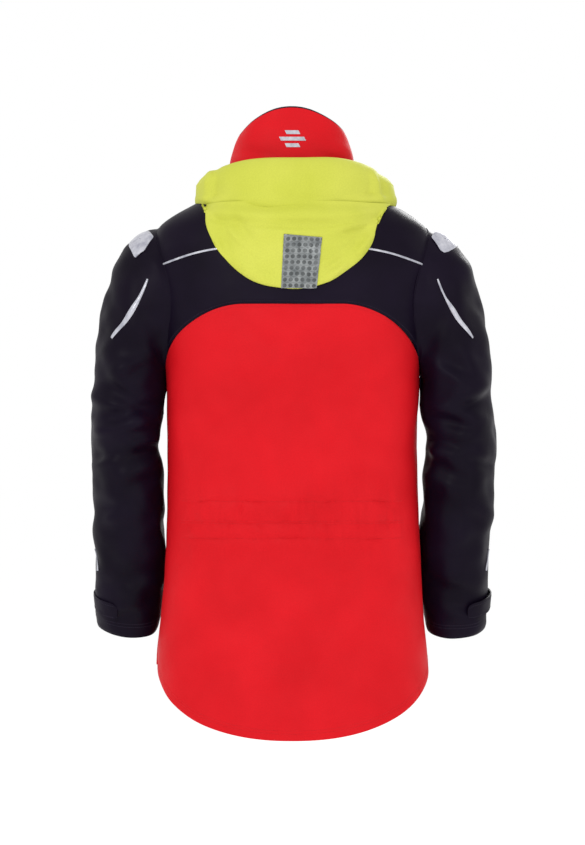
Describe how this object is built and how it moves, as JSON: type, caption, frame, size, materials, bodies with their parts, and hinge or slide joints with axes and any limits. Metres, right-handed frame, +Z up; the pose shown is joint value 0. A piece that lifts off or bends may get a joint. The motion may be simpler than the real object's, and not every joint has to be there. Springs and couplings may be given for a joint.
{
  "type": "foul weather jacket",
  "caption": "Hooded waterproof sailing jacket with a high collar, storm flap over a front zip, cargo pockets and a dropped tail.",
  "frame": {"origin": "middle of the inner face of the hanging loop, inside the collar at the centre back, where a peg bears", "axes": "+Z up as worn, +X towards the wearer's left arm, +Y out of the back; the front zip faces -Y"},
  "size_m": [0.652, 0.3187, 1.006],
  "materials": {
    "red_laminate": "matt coated nylon",
    "navy_laminate": "matt coated nylon",
    "yellow_laminate": "fluorescent coated nylon",
    "mesh_lining": "knitted mesh",
    "fleece": "brushed fleece",
    "reflective_film": "retroreflective film",
    "webbing": "woven tape",
    "grip_tape": "hook and loop tape",
    "neoprene": "smooth skin neoprene",
    "zip_plastic": "moulded acetal"
  },
  "bodies": {
    "body": {"back_panel": "red_laminate", "back_yoke": "navy_laminate", "front_panel_left": "red_laminate", "front_panel_right": "red_laminate", "front_yoke_left": "navy_laminate", "front_yoke_right": "navy_laminate", "body_lining": "mesh_lining", "hem_facing_back": "red_laminate", "hem_facing_front_left": "red_laminate", "hem_facing_front_right": "red_laminate", "waist_elastic_upper": "webbing", "waist_elastic_lower": "webbing", "waist_casing": "mesh_lining", "collar_shell": "red_laminate", "collar_lining": "fleece", "hang_loop": "webbing", "hood_roll": "yellow_laminate", "yoke_piping_left": "reflective_film", "yoke_piping_right": "reflective_film", "zip_teeth_left": "zip_plastic", "zip_teeth_right": "zip_plastic", "zip_tape_left": "webbing", "zip_tape_right": "webbing", "zip_box": "zip_plastic", "storm_flap_base": "red_laminate", "front_grip_strip": "grip_tape", "cargo_pocket_left": "red_laminate", "cargo_pocket_right": "red_laminate"},
    "hood": {"hood_bag": "yellow_laminate", "hood_peak": "yellow_laminate", "hood_patch": "reflective_film"},
    "sleeve_left": {"upper_sleeve_left": "navy_laminate", "sleeve_piping_left": "reflective_film", "shoulder_badge_left": "reflective_film"},
    "sleeve_right": {"upper_sleeve_right": "navy_laminate", "sleeve_piping_right": "reflective_film", "shoulder_badge_right": "reflective_film"},
    "forearm_left": {"forearm_sleeve_left": "navy_laminate", "inner_cuff_left": "neoprene", "cuff_grip_pad_left": "grip_tape", "forearm_flash_left": "reflective_film"},
    "forearm_right": {"forearm_sleeve_right": "navy_laminate", "inner_cuff_right": "neoprene", "cuff_grip_pad_right": "grip_tape", "forearm_flash_right": "reflective_film"},
    "tab_left": {"cuff_tab_left": "navy_laminate"},
    "tab_right": {"cuff_tab_right": "navy_laminate"},
    "front_flap": {"storm_flap": "red_laminate", "flap_grip_strip": "grip_tape"},
    "slider": {"zip_slider": "zip_plastic"},
    "puller": {"zip_puller": "zip_plastic"},
    "pocket_lid_left": {"pocket_flap_left": "navy_laminate"},
    "pocket_lid_right": {"pocket_flap_right": "navy_laminate"}
  },
  "joints": [
    {"name": "hood_lift", "type": "hinge", "parent": "body", "child": "hood", "pos_m": [0, 0.08297, -0.0566], "axis": [1, 0, 0], "range_deg": [0, 130]},
    {"name": "shoulder_left", "type": "hinge", "parent": "body", "child": "sleeve_left", "pos_m": [0.198, -0.065, -0.077], "axis": [0, -1, 0], "range_deg": [0, 50]},
    {"name": "shoulder_right", "type": "hinge", "parent": "body", "child": "sleeve_right", "pos_m": [-0.198, -0.065, -0.077], "axis": [0, 1, 0], "range_deg": [0, 50]},
    {"name": "elbow_left", "type": "hinge", "parent": "sleeve_left", "child": "forearm_left", "pos_m": [0.27, -0.1396, -0.4285], "axis": [-1, 0, 0], "range_deg": [0, 70]},
    {"name": "elbow_right", "type": "hinge", "parent": "sleeve_right", "child": "forearm_right", "pos_m": [-0.27, -0.1396, -0.4285], "axis": [-1, 0, 0], "range_deg": [0, 70]},
    {"name": "cuff_tab_left_open", "type": "hinge", "parent": "forearm_left", "child": "tab_left", "pos_m": [0.2839, -0.06875, -0.72168], "axis": [0.0088, 0.2759, 0.9611], "range_deg": [0, 80]},
    {"name": "cuff_tab_right_open", "type": "hinge", "parent": "forearm_right", "child": "tab_right", "pos_m": [-0.2839, -0.06875, -0.72168], "axis": [0.0088, -0.2759, -0.9611], "range_deg": [0, 80]},
    {"name": "storm_flap_open", "type": "hinge", "parent": "body", "child": "front_flap", "pos_m": [0.0383, -0.19505, -0.50256], "axis": [0, 0.0663, 0.9978], "range_deg": [0, 105]},
    {"name": "zip_open", "type": "slide", "parent": "body", "child": "slider", "axis": [0, -0.0663, -0.9978], "range_m": [0, 0.85]},
    {"name": "puller_swing", "type": "hinge", "parent": "slider", "child": "puller", "pos_m": [0, -0.15002, 0.085], "axis": [-1, 0, 0], "range_deg": [0, 140]},
    {"name": "pocket_flap_left_open", "type": "hinge", "parent": "body", "child": "pocket_lid_left", "pos_m": [0.11954, -0.18091, -0.58759], "axis": [-0.9462, -0.3236, 0], "range_deg": [0, 90]},
    {"name": "pocket_flap_right_open", "type": "hinge", "parent": "body", "child": "pocket_lid_right", "pos_m": [-0.11954, -0.18091, -0.58759], "axis": [-0.9462, 0.3236, 0], "range_deg": [0, 90]}
  ]
}
